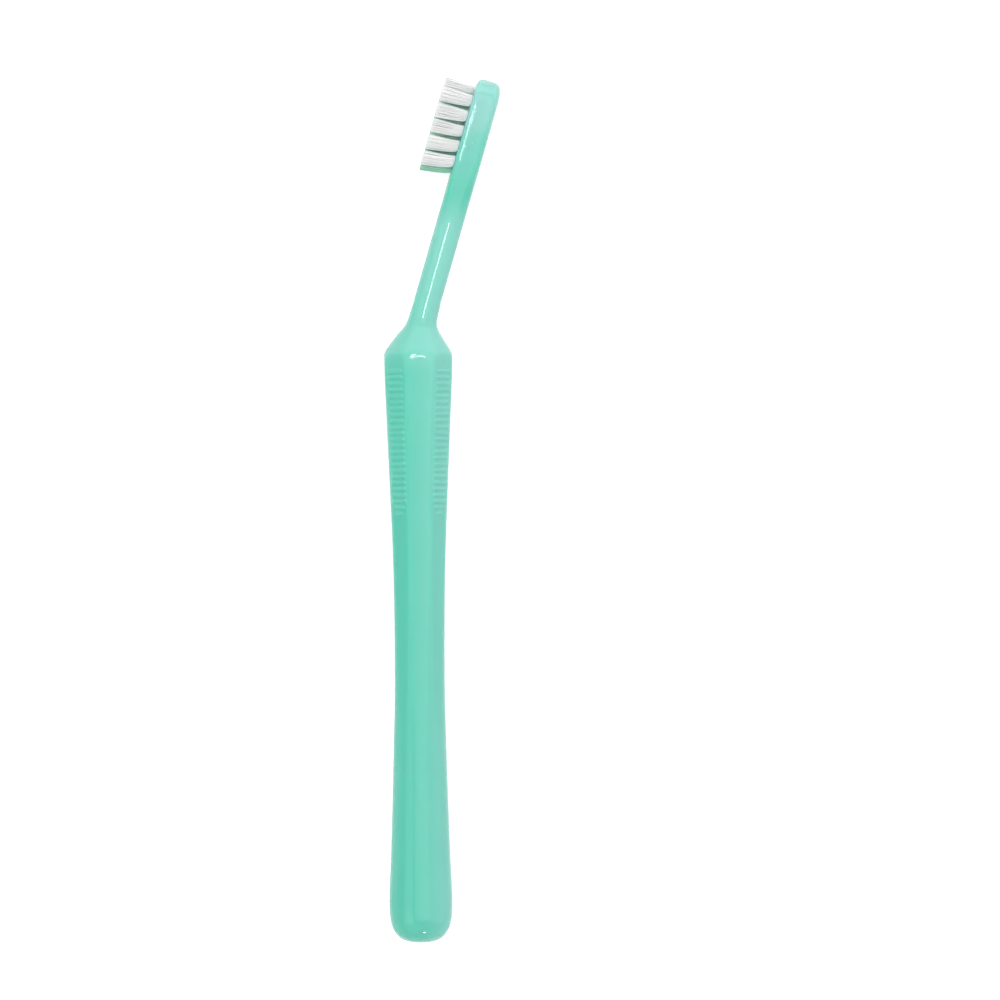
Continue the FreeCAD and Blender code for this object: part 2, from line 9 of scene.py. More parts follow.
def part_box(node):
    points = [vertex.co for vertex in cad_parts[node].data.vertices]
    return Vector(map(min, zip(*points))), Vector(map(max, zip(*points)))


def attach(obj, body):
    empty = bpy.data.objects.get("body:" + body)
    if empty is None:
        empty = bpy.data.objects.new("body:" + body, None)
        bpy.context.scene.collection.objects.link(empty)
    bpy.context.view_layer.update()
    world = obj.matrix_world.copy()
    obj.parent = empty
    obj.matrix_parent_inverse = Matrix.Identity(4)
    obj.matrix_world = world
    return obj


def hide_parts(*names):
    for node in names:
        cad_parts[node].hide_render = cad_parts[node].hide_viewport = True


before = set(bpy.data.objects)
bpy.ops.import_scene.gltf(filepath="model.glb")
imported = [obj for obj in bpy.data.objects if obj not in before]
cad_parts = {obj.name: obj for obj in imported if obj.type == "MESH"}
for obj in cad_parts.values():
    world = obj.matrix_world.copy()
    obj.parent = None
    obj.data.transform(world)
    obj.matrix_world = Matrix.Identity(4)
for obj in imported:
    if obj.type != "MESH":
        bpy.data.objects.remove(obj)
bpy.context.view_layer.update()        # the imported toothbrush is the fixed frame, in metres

mm = 0.001

# The brush lies along +Y, its bristles point to -X, and the grip's axis is half the handle's height up.
handleLow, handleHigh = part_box("handle")
axisHeight = (handleHigh.z - handleLow.z) / 2 / mm
gripAxis = np.array((handleLow.x / mm + axisHeight, handleLow.y / mm, handleLow.z / mm + axisHeight))


def toFrame(across, along, up):
    # millimetres from the butt's middle to metres in the frame
    points = np.stack(np.broadcast_arrays(across, along, up), axis=-1)
    return (points + gripAxis) * mm


def softMin(a, b, softness):
    # the lower of two values, with the corner between them rounded off:
    # mean - sqrt(half the gap squared + softness squared)
    return (a + b) / 2 - np.sqrt(((a - b) / 2) ** 2 + softness ** 2)


def softMax(a, b, softness):
    # the higher of two values, rounded off in the same way
    return -softMin(-a, -b, softness)


def ease(share):
    # 0 to 1 along an S curve: 3 t squared - 2 t cubed
    share = np.clip(share, 0, 1)
    return share * share * (3 - 2 * share)


def curveThrough(at, stations, values, slopes):
    # cubic pieces through the stations with a slope at each, and straight lines beyond the first and last
    stations, values, slopes = (np.asarray(numbers, dtype=float) for numbers in (stations, values, slopes))
    inside = np.clip(at, stations[0], stations[-1])
    piece = np.clip(np.searchsorted(stations, inside, side="right") - 1, 0, len(stations) - 2)
    span = stations[piece + 1] - stations[piece]
    share = (inside - stations[piece]) / span
    stay = (1 + 2 * share) * (1 - share) ** 2
    leave = share * (1 - share) ** 2
    arrive = share * share * (share - 1)
    curve = stay * values[piece] + (1 - stay) * values[piece + 1]
    curve += span * (leave * slopes[piece] + arrive * slopes[piece + 1])
    beyond = np.where(at < stations[0], slopes[0], slopes[-1]) * (at - inside)
    return curve + beyond


def gridFaces(rings, points):
    # quads of a grid of rings, closed round each ring, that face outwards when the rings go up the path
    ring, point = np.meshgrid(np.arange(rings - 1), np.arange(points), indexing="ij")
    following = (point + 1) % points
    corners = (ring * points + point, (ring + 1) * points + point,
               (ring + 1) * points + following, ring * points + following)
    return np.stack(corners, axis=-1).reshape(-1, 4)


def meshPiece(name, points, faces, material):
    # one object from points in metres and arrays of faces, each array with one number of corners
    mesh = bpy.data.meshes.new(name)
    sizes = np.concatenate([np.full(len(part), part.shape[1]) for part in faces])
    mesh.vertices.add(len(points))
    mesh.vertices.foreach_set("co", points.astype(np.float32).ravel())
    mesh.loops.add(int(sizes.sum()))
    mesh.loops.foreach_set("vertex_index", np.concatenate([part.ravel() for part in faces]).astype(np.int32))
    mesh.polygons.add(len(sizes))
    mesh.polygons.foreach_set("loop_start", np.concatenate(([0], np.cumsum(sizes)[:-1])).astype(np.int32))
    mesh.update(calc_edges=True)
    mesh.materials.append(material)
    piece = bpy.data.objects.new(name, mesh)
    bpy.context.scene.collection.objects.link(piece)
    return piece


def applyModifier(piece, kind, **settings):
    modifier = piece.modifiers.new(kind.lower(), kind)
    for name, value in settings.items():
        setattr(modifier, name, value)
    bpy.context.view_layer.objects.active = piece
    bpy.ops.object.modifier_apply(modifier=modifier.name)


def srgb(code):
    # an sRGB hex colour as linear values
    parts = [int(code[start:start + 2], 16) / 255 for start in (1, 3, 5)]
    linear = [part / 12.92 if part <= 0.04045 else ((part + 0.055) / 1.055) ** 2.4 for part in parts]
    return (*linear, 1.0)


def addNode(tree, kind, links=None, **settings):
    # a node with its settings and its links from other nodes' outputs
    # a setting whose name isn't the node's own is the value of one of its inputs
    node = tree.nodes.new(kind)
    inputs = {}
    for name, value in settings.items():
        if name in node.bl_rna.properties:
            setattr(node, name, value)
        else:
            inputs[name.replace("_", " ")] = value
    for name, value in inputs.items():
        node.inputs[name].default_value = value
    for name, output in (links or {}).items():
        tree.links.new(output, node.inputs[name])
    return node


def newMaterial(name):
    material = bpy.data.materials.new(name)
    material.use_nodes = True
    material.node_tree.nodes.clear()
    return material, material.node_tree


# Injection-moulded polypropylene, tinted mint and a little see-through: light spreads inside it, so the thin
# neck and head look paler than the grip, and the polished mould leaves a crisp gloss with a faint ripple.
# On top of that, light is painted into the colour: the grip's right side is painted paler where the lamps
# fall on it, and the thin neck and head are painted paler for the light that shines through them.
plasticSizes = {
    "colour": "#5ACAB4",
    "paintedLitSideColour": "#78CFC0",
    "paintedThroughLightColour": "#98D5CC",
    "paintedLitSideStart": (-3.0, 6.0),    # mm across the grip, over which painted light comes in on the right side
    "paleEnd": (24.0, 32.0),     # mm along the neck, over which the painted light goes again
    "cloudShare": 0.35,          # how far the random drift moves the painted light's share
    # share of painted light, for light shining through the thin neck and head, at lengths along the neck, in
    # mm from the bend
    "paintedThroughLightShares": ((-10, 0.0), (-2, 0.4), (22, 0.35), (33, 0.08), (43, 0.3), (50, 0.82), (59, 0.95)),
    "cloudSize": 14.0,           # mm, slow random drift of the painted light's share
    "rippleSize": 1.8,           # mm, ripple of the gloss
    "rippleHeight": 0.0012,      # mm
    "grainSize": 0.65,           # mm, spots of the gloss and pits on the head, coarse enough to show
    "pitShare": 30.0,            # height of the pits over that of the ripple
    "pitStart": (37.0, 41.0),    # mm along the neck, over which the pits come in
    "roughness": (0.05, 0.09),
    "ior": 1.49,
    "lightShare": 0.65,          # share of the light that goes inside
    "lightReach": (0.25, 1.0, 0.7),  # how far red, green and blue go there, over the spread
    "lightSpread": 4.0,          # mm
}


def makePlastic():
    sizes = plasticSizes
    material, tree = newMaterial("mouldedMintPolypropylene")
    place = addNode(tree, "ShaderNodeTexCoord").outputs["Object"]
    cloud = addNode(tree, "ShaderNodeTexNoise", {"Vector": place},
                    Scale=1000 / sizes["cloudSize"], Detail=2.0)
    axes = addNode(tree, "ShaderNodeSeparateXYZ", {"Vector": place})
    # painted light: the grip's right side is paler, as where the lamps fall on it, fading out up the neck; a
    # random drift moves its share
    first, last = ((gripAxis[0] + across) * mm for across in sizes["paintedLitSideStart"])
    pale = addNode(tree, "ShaderNodeMapRange", {"Value": axes.outputs["X"]}, interpolation_type="SMOOTHSTEP",
                   From_Min=first, From_Max=last)
    first, last = (neckY(along) for along in sizes["paleEnd"])
    paintedLitSideFade = addNode(tree, "ShaderNodeMapRange", {"Value": axes.outputs["Y"]},
                     interpolation_type="SMOOTHSTEP", From_Min=first, From_Max=last, To_Min=1.0, To_Max=0.0)
    drift = addNode(tree, "ShaderNodeMapRange", {"Value": cloud.outputs["Fac"]},
                    To_Min=-sizes["cloudShare"] / 2, To_Max=sizes["cloudShare"] / 2)
    paintedLitSideShare = addNode(tree, "ShaderNodeMath", {
        0: pale.outputs["Result"], 1: paintedLitSideFade.outputs["Result"], 2: drift.outputs["Result"]},
        operation="MULTIPLY_ADD", use_clamp=True)
    tint = addNode(tree, "ShaderNodeMix", {0: paintedLitSideShare.outputs[0]}, data_type="RGBA")
    tint.inputs[6].default_value = srgb(sizes["colour"])
    tint.inputs[7].default_value = srgb(sizes["paintedLitSideColour"])
    # painted light: the neck and head are mixed towards a paler colour, for the light shining through the
    # thin plastic
    first, last = sizes["paintedThroughLightShares"][0][0], sizes["paintedThroughLightShares"][-1][0]
    neck = addNode(tree, "ShaderNodeMapRange", {"Value": axes.outputs["Y"]},
                   From_Min=neckY(first), From_Max=neckY(last))
    paintedThroughLight = addNode(tree, "ShaderNodeValToRGB", {"Fac": neck.outputs["Result"]})
    paintedThroughLight.color_ramp.interpolation = "EASE"
    for number, (length, share) in enumerate(sizes["paintedThroughLightShares"]):
        stops = paintedThroughLight.color_ramp.elements
        stop = stops[number] if number < 2 else stops.new(1.0)
        stop.position = (length - first) / (last - first)
        stop.color = (share, share, share, 1)
    colourWithPaintedLight = addNode(tree, "ShaderNodeMix", {0: paintedThroughLight.outputs["Color"], 6: tint.outputs[2]}, data_type="RGBA")
    colourWithPaintedLight.inputs[7].default_value = srgb(sizes["paintedThroughLightColour"])
    ripple = addNode(tree, "ShaderNodeTexNoise", {"Vector": place},
                     Scale=1000 / sizes["rippleSize"], Detail=3.0)
    grain = addNode(tree, "ShaderNodeTexNoise", {"Vector": place},
                    Scale=1000 / sizes["grainSize"], Detail=1.0)
    smoothest, roughest = sizes["roughness"]
    gloss = addNode(tree, "ShaderNodeMapRange", {"Value": grain.outputs["Fac"]},
                    To_Min=smoothest, To_Max=roughest)
    first, last = (neckY(along) for along in sizes["pitStart"])
    pitted = addNode(tree, "ShaderNodeMapRange", {"Value": axes.outputs["Y"]},
                     interpolation_type="SMOOTHSTEP", From_Min=first, From_Max=last, To_Max=sizes["pitShare"])
    height = addNode(tree, "ShaderNodeMath", {
        0: grain.outputs["Fac"], 1: pitted.outputs["Result"], 2: ripple.outputs["Fac"]},
        operation="MULTIPLY_ADD")
    bump = addNode(tree, "ShaderNodeBump", {"Height": height.outputs[0]}, Strength=1.0,
                   Distance=sizes["rippleHeight"] * mm)
    shader = addNode(tree, "ShaderNodeBsdfPrincipled", {
        "Base Color": colourWithPaintedLight.outputs[2], "Roughness": gloss.outputs["Result"],
        "Normal": bump.outputs["Normal"]},
        IOR=sizes["ior"], Subsurface_Weight=sizes["lightShare"], Subsurface_Radius=sizes["lightReach"],
        Subsurface_Scale=sizes["lightSpread"] * mm)
    addNode(tree, "ShaderNodeOutputMaterial", {"Surface": shader.outputs["BSDF"]})
    return material


# Extruded nylon filament: clear white with a satin shine, and each strand a slightly different tone. Below
# its top tuft the middle column is painted pale green: painted shade, tinted by light from the mint head,
# which shows between the white tufts as green lines.
nylonSizes = {
    "white": ("#FEFEFE", "#F2F5F4"),
    "paintedGreenShade": ("#BCEBD6", "#96DBBF"),
    "roughness": 0.3,
    "ior": 1.53,
    "lightShare": 0.2,           # share of the light that goes inside
    "lightSpread": 0.1,          # mm
}


def makeNylon(name, colours):
    sizes = nylonSizes
    material, tree = newMaterial(name)
    strand = addNode(tree, "ShaderNodeAttribute", attribute_name="strandTone")
    tint = addNode(tree, "ShaderNodeMix", {0: strand.outputs["Fac"]}, data_type="RGBA")
    tint.inputs[6].default_value = srgb(colours[0])
    tint.inputs[7].default_value = srgb(colours[1])
    shader = addNode(tree, "ShaderNodeBsdfPrincipled", {"Base Color": tint.outputs[2]},
                     Roughness=sizes["roughness"], IOR=sizes["ior"], Subsurface_Weight=sizes["lightShare"],
                     Subsurface_Radius=(1.0, 1.0, 1.0), Subsurface_Scale=sizes["lightSpread"] * mm)
    addNode(tree, "ShaderNodeOutputMaterial", {"Surface": shader.outputs["BSDF"]})
    return material


# Rolled brass strip, cut to plates: a plain yellow metal with the fine lines of rolling.
brassSizes = {
    "colour": "#D2B36E",
    "roughness": (0.25, 0.45),
    "lineWidth": 0.08,       # mm
    "lineStretch": 0.1,      # width of a rolling line over its length
}


def makeBrass():
    sizes = brassSizes
    material, tree = newMaterial("rolledBrass")
    place = addNode(tree, "ShaderNodeTexCoord").outputs["Object"]
    stretch = addNode(tree, "ShaderNodeMapping", {"Vector": place}, Scale=(1.0, sizes["lineStretch"], 1.0))
    lines = addNode(tree, "ShaderNodeTexNoise", {"Vector": stretch.outputs["Vector"]},
                    Scale=1000 / sizes["lineWidth"], Detail=2.0)
    smoothest, roughest = sizes["roughness"]
    gloss = addNode(tree, "ShaderNodeMapRange", {"Value": lines.outputs["Fac"]},
                    To_Min=smoothest, To_Max=roughest)
    shader = addNode(tree, "ShaderNodeBsdfPrincipled", {"Roughness": gloss.outputs["Result"]},
                     Base_Color=srgb(sizes["colour"]), Metallic=1.0)
    addNode(tree, "ShaderNodeOutputMaterial", {"Surface": shader.outputs["BSDF"]})
    return material


# Lengths in mm. Along the grip they count from the butt, along the neck and head from the bend.
handleSizes = {
    "stations": (9.0, 18.5, 58.0, 93.0, 129.5),      # bulge, flank, waist, foot of the taper, shoulder
    "radii": (6.95, 6.58, 5.66, 6.39, 8.2),
    "slopes": (0.0, -0.035, 0.0, 0.038, 0.0580),
    "buttPower": 2.9,                                # 2 is an ellipse, more is squarer
    "flatStations": (44.0, 58.0, 93.0, 129.7),
    "flatDistances": (5.89, 5.49, 6.05, 7.62),       # from the axis to the facets
    "flatSlopes": (-0.057, 0.0, 0.04278, 0.04278),
    "facets": 8,
    "facetSoftness": (0.03, 0.14),                   # along the grip, and where it meets the shoulder
    "facetSoftening": 5.0,                           # over this length below the shoulder
    "coneSlope": 0.79,
    "shoulderSoftness": 0.42,
    "neckSoftness": 0.45,
    "bend": 133.8,
    "bendSoftness": 0.25,
    "lean": 16.3,                                    # degrees
    "neckRadius": 2.95,
    "neckTurn": (6.0, 20.0),                         # where the rings turn from level to square to the neck
    "flare": (25.0, 40.0),
    "headHalfWidth": 5.3,
    "headHalfThickness": 2.95,
    "frontPower": 9.0,                               # squareness of the head's front and back edges
    "backPower": 4.2,
    "frontTipPower": 5.0,                            # and of its tip
    "backTipPower": 3.7,
    "tip": 58.3,
    "ringPoints": 224,
    "sharpEdge": 35.0,                               # degrees, for the edges of the holes
}
ribSizes = {
    "firstBelowShoulder": 3.6,
    "pitch": 1.362,
    "endShares": (0.94, 0.78, 0.5),                  # the last ribs get shorter
    "count": 24,
    "length": 4.7,
    "width": 1.3,
    "height": 0.33,
}
lean = math.radians(handleSizes["lean"])


def neckY(along):
    # where a length along the neck's axis, in mm from the bend, lies on the frame's Y, in metres
    return (gripAxis[1] + handleSizes["bend"] + along * math.cos(lean)) * mm


plastic = makePlastic()
whiteNylon = makeNylon("extrudedWhiteNylon", nylonSizes["white"])
# white nylon with painted green shade, for the shaded tufts of the middle column
paintedGreenShadeNylon = makeNylon("whiteNylonWithPaintedGreenShade", nylonSizes["paintedGreenShade"])
brass = makeBrass()
print("materials made")


def headPoint(along, out, side):
    # a point of the neck or head: along its axis from the bend, out towards the bristles, and sideways
    across = along * math.sin(lean) - out * math.cos(lean)
    up = handleSizes["bend"] + along * math.cos(lean) + out * math.sin(lean)
    return toFrame(across, up, side)


def ringAngles():
    # angles round a ring, closer together where the head's corners and the grip's edges lie: the turn is
    # shared out evenly over 1 plus a bell curve, exp(-(angle / width)^2), at each of those places
    sizes = handleSizes
    count = sizes["ringPoints"]
    even = np.linspace(0, 2 * math.pi, 3601)
    corner = math.atan2(sizes["headHalfWidth"], sizes["headHalfThickness"])
    corners = [corner, math.pi - corner, math.pi + corner, 2 * math.pi - corner]
    edges = (np.arange(sizes["facets"]) + 0.5) * 2 * math.pi / sizes["facets"]
    crowding = np.ones_like(even)
    for places, width, weight in ((corners, 0.1, 1.5), (edges, 0.07, 1.0)):
        for place in places:
            crowding += weight * np.exp(-((even - place) / width) ** 2)
    length = np.concatenate(([0], np.cumsum((crowding[1:] + crowding[:-1]) / 2)))
    return np.interp(np.arange(count) / count * length[-1], length, even)


def gripRadius(along, angle):
    # round profile: an S-curved line that turns over the shoulder into a cone and runs out into the neck
    sizes = handleSizes
    taper = curveThrough(along, sizes["stations"], sizes["radii"], sizes["slopes"])
    cone = sizes["radii"][-1] - sizes["coneSlope"] * (along - sizes["stations"][-1])
    around = softMin(taper, cone, sizes["shoulderSoftness"])
    bulge = sizes["stations"][0]
    power = sizes["buttPower"]
    depth = np.clip(1 - along / bulge, 0, 1)
    butt = sizes["radii"][0] * (1 - depth ** power) ** (1 / power)
    around = np.where(along < bulge, butt, around)
    # facets: the nearer of the round profile and a flat whose distance over the cosine gives its radius
    level = np.minimum(along, sizes["flatStations"][-1])
    flat = curveThrough(level, sizes["flatStations"], sizes["flatDistances"], sizes["flatSlopes"])
    step = 2 * math.pi / sizes["facets"]
    off = (angle + step / 2) % step - step / 2
    crisp, soft = sizes["facetSoftness"]
    shoulder = sizes["stations"][-1]
    softening = ease((along - shoulder) / sizes["facetSoftening"] + 1)
    softness = crisp + (soft - crisp) * softening
    radius = np.where(along < bulge, around, softMin(around, flat / np.cos(off), softness))
    radius = radius + ribHeight(along, angle, radius)
    softness = sizes["neckSoftness"] * ease((along - shoulder) / (sizes["bend"] - shoulder))
    return np.where(along < shoulder, radius, softMax(radius, sizes["neckRadius"], softness))


def ribHeight(along, angle, radius):
    # raised bars on every second facet: half a cosine wave over the distance from the bar's middle line
    sizes = ribSizes
    first = handleSizes["stations"][-1] - sizes["firstBelowShoulder"]
    number = np.clip(np.round((first - along) / sizes["pitch"]), 0, sizes["count"] - 1).astype(int)
    shares = np.ones(sizes["count"])
    shares[-len(sizes["endShares"]):] = sizes["endShares"]
    half = sizes["length"] / 2 * shares[number]
    off = (angle % (math.pi / 2)) - math.pi / 4
    sideways = radius * np.sin(off)
    beyond = np.maximum(np.abs(sideways) - (half - sizes["width"] / 2), 0)
    away = np.hypot(beyond, along - (first - number * sizes["pitch"])) / (sizes["width"] / 2)
    return sizes["height"] * (0.5 + 0.5 * np.cos(math.pi * np.minimum(away, 1)))


def gripGrid(angle):
    # level rings up the grip, the shoulder and the foot of the neck, whose middle slides over at the bend
    sizes = handleSizes
    bulge, shoulder = sizes["stations"][0], sizes["stations"][-1]
    turn = np.linspace(0, math.pi / 2, 19)
    butt = bulge * (1 - np.cos(turn) ** (2 / sizes["buttPower"]))    # rings closer together towards the end
    ribTop = shoulder - ribSizes["firstBelowShoulder"] + ribSizes["pitch"] / 2
    ribFoot = ribTop - ribSizes["count"] * ribSizes["pitch"]
    end = sizes["bend"] + sizes["neckTurn"][0] * math.cos(lean)
    along = np.concatenate((
        butt,
        np.linspace(bulge, ribFoot, 58)[1:],
        np.linspace(ribFoot, ribTop, ribSizes["count"] * 8 + 1)[1:],
        np.linspace(ribTop, end, 52)[1:],
    ))[:, None]
    radius = gripRadius(along, angle)
    stretch = 1 + (1 / math.cos(lean) - 1) * ease((along - shoulder) / (end - shoulder))
    middle = softMax(0, math.tan(lean) * (along - sizes["bend"]), sizes["bendSoftness"])
    middle = middle * ease(along / shoulder)
    return toFrame(middle + radius * np.cos(angle) * stretch, along + 0 * angle, radius * np.sin(angle))


def plateRadius(angle, halfThickness, halfWidth, frontPower, backPower):
    # distance from the middle to the edge of a superellipse:
    # (thick / halfThickness)^power + (wide / halfWidth)^power = 1
    power = np.where(np.cos(angle) > 0, backPower, frontPower)
    thick = np.abs(np.cos(angle)) / halfThickness
    wide = np.abs(np.sin(angle)) / halfWidth
    return (thick ** power + wide ** power) ** (-1 / power)


def neckGrid(angle):
    # rings up the neck that turn square to it, then widen along an S curve into the head's plate
    sizes = handleSizes
    level, square = sizes["neckTurn"]
    start, end = sizes["flare"]
    tipMiddle = sizes["tip"] - sizes["headHalfWidth"]
    along = np.concatenate((
        np.linspace(level, start, 14)[1:],
        np.linspace(start, end, 22)[1:],
        np.linspace(end, tipMiddle, 10)[1:],
    ))[:, None]
    turned = lean * ease((along - level) / (square - level))
    share = np.clip((along - start) / (end - start), 0, 1)
    neck = sizes["neckRadius"]
    radius = plateRadius(
        angle,
        neck + (sizes["headHalfThickness"] - neck) * share,
        neck + (sizes["headHalfWidth"] - neck) * ease(share),
        2 + (sizes["frontPower"] - 2) * share ** 2,
        2 + (sizes["backPower"] - 2) * share,
    )
    back = radius * np.cos(angle) / np.cos(lean - turned)
    across = along * math.sin(lean) + back * np.cos(turned)
    up = sizes["bend"] + along * math.cos(lean) - back * np.sin(turned)
    return toFrame(across, up, radius * np.sin(angle))


def tipGrid(angle):
    # half of the plate's section swings round the tip's middle to meet the other half, while its edges
    # round off
    sizes = handleSizes
    swing = np.linspace(0, math.pi / 2, 19)[1:, None]
    rounded = ease(swing / (math.pi / 2))
    radius = plateRadius(
        angle, sizes["headHalfThickness"], sizes["headHalfWidth"],
        sizes["frontPower"] + (sizes["frontTipPower"] - sizes["frontPower"]) * rounded,
        sizes["backPower"] + (sizes["backTipPower"] - sizes["backPower"]) * rounded,
    )
    wide = radius * np.sin(angle)
    along = sizes["tip"] - sizes["headHalfWidth"] + np.abs(wide) * np.sin(swing)
    return headPoint(along, -radius * np.cos(angle), wide * np.cos(swing))


def mergeDoubles(piece, distance):
    work = bmesh.new()
    work.from_mesh(piece.data)
    bmesh.ops.remove_doubles(work, verts=work.verts, dist=distance)
    work.to_mesh(piece.data)
    work.free()


# Tufts stand where the frame's anchors are: one anchor in the middle of each hole.
tuftSizes = {
    "holeRadius": 1.2,
    "holeDepth": 3.3,
    "slitLength": 2.7,
    "slitWidth": 0.3,
    "anchorDepth": 2.1,          # from the head's face to the anchor's middle
    "anchorFoot": 2.9,
    "strandRadius": 0.095,
    "strandSpacing": 0.196,
    "strandSides": 5,
    "endTaper": 0.55,            # radius of a strand's rounded end over the strand's
    "rootRadius": 1.075,
    "tipRadius": 1.6,
    "height": 6.8,
    "shortest": 0.05,            # how much lower than the height a strand may end
    "foldHeight": -2.6,          # where the strands bend round the anchor's foot
    "foldDepth": (0.4, 0.18),    # how far the inmost strand goes below that, and how much more the outmost
    "lean": 0.95,                # the lowest tuft's tips towards the handle
    "leanPower": 0.6,            # below 1 the tufts lean most just above the head
    "nearLean": 0.3,             # lean of all the near and far columns' bristles
    "stray": 0.1,
    "spreadPower": 0.25,         # below 1 a tuft widens most just above the head
    "seed": 14,
}
columns = {"near": 5, "middle": 6, "far": 5}
headOut = Vector((-math.cos(lean), math.sin(lean), 0))
headUp = Vector((math.sin(lean), math.cos(lean), 0))


def tuftFoot(column, number):
    # the middle of the hole's mouth, in metres
    low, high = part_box(f"anchor_{column}_{number}")
    return (low + high) / 2 + headOut * tuftSizes["anchorDepth"] * mm


tuftPlaces = {(column, number): tuftFoot(column, number)
              for column, count in columns.items() for number in range(1, count + 1)}


def fromTuft(foot, along, out, side):
    # millimetres from a hole's mouth to metres in the frame
    points = np.stack(np.broadcast_arrays(along, out, side), axis=-1) * mm
    axes = np.array((headUp, headOut, (0, 0, 1)))
    return points @ axes + np.array(foot)


def makeCutter(name, along, side, depth):
    # one straight plug into each hole's place, with the outline along and side, that starts clear of the head
    count, places = len(along), len(tuftPlaces)
    points = np.concatenate([fromTuft(foot, along, out, side)
                             for foot in tuftPlaces.values() for out in (0.5, -depth)])
    starts = np.arange(places)[:, None, None] * 2 * count
    ring = np.arange(count)
    following = (ring + 1) % count
    walls = np.stack((ring, ring + count, following + count, following), axis=-1)
    caps = np.stack((ring, ring[::-1] + count))
    faces = [(walls + starts).reshape(-1, 4), (caps + starts).reshape(-1, count)]
    return meshPiece(name, points, faces, plastic)


def makeHandle():
    angle = ringAngles()
    grid = np.concatenate((gripGrid(angle), neckGrid(angle), tipGrid(angle)))
    rings, points = grid.shape[:2]
    handle = meshPiece("mouldedHandle", grid.reshape(-1, 3), [gridFaces(rings, points)], plastic)
    mergeDoubles(handle, 1e-7)
    sizes = tuftSizes
    turn = np.linspace(0, 2 * math.pi, 49)[:-1]
    mouth = sizes["holeRadius"] * np.array((np.cos(turn), np.sin(turn)))
    slit = np.array(((1, 1, -1, -1), (-1, 1, 1, -1))) / 2
    slit *= np.array(((sizes["slitLength"],), (sizes["slitWidth"],)))
    cutters = makeCutter("holes", *mouth, sizes["holeDepth"]), makeCutter("slits", *slit, sizes["anchorFoot"])
    for cutter in cutters:
        applyModifier(handle, "BOOLEAN", object=cutter, operation="DIFFERENCE", solver="MANIFOLD")
        bpy.data.objects.remove(cutter)
    handle.data.shade_smooth()
    handle.data.set_sharp_from_angle(angle=math.radians(handleSizes["sharpEdge"]))
    return handle


handle = makeHandle()
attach(handle, "root")
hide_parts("handle")
handle.data.calc_loop_triangles()
print("handle made,", len(handle.data.loop_triangles), "triangles")


def strandPlaces():
    # a close hexagonal packing on one side of the anchor, inside the hole
    sizes = tuftSizes
    spacing = sizes["strandSpacing"]
    first = sizes["slitWidth"] / 2 + sizes["strandRadius"]
    places = []
    for row in range(6):
        side = first + row * spacing * math.sqrt(0.75)
        shift = spacing / 2 * (row % 2)
        for step in range(-8, 9):
            along = step * spacing + shift
            if math.hypot(along, side) <= sizes["rootRadius"]:
                places.append((along, side))
    return np.array(places)


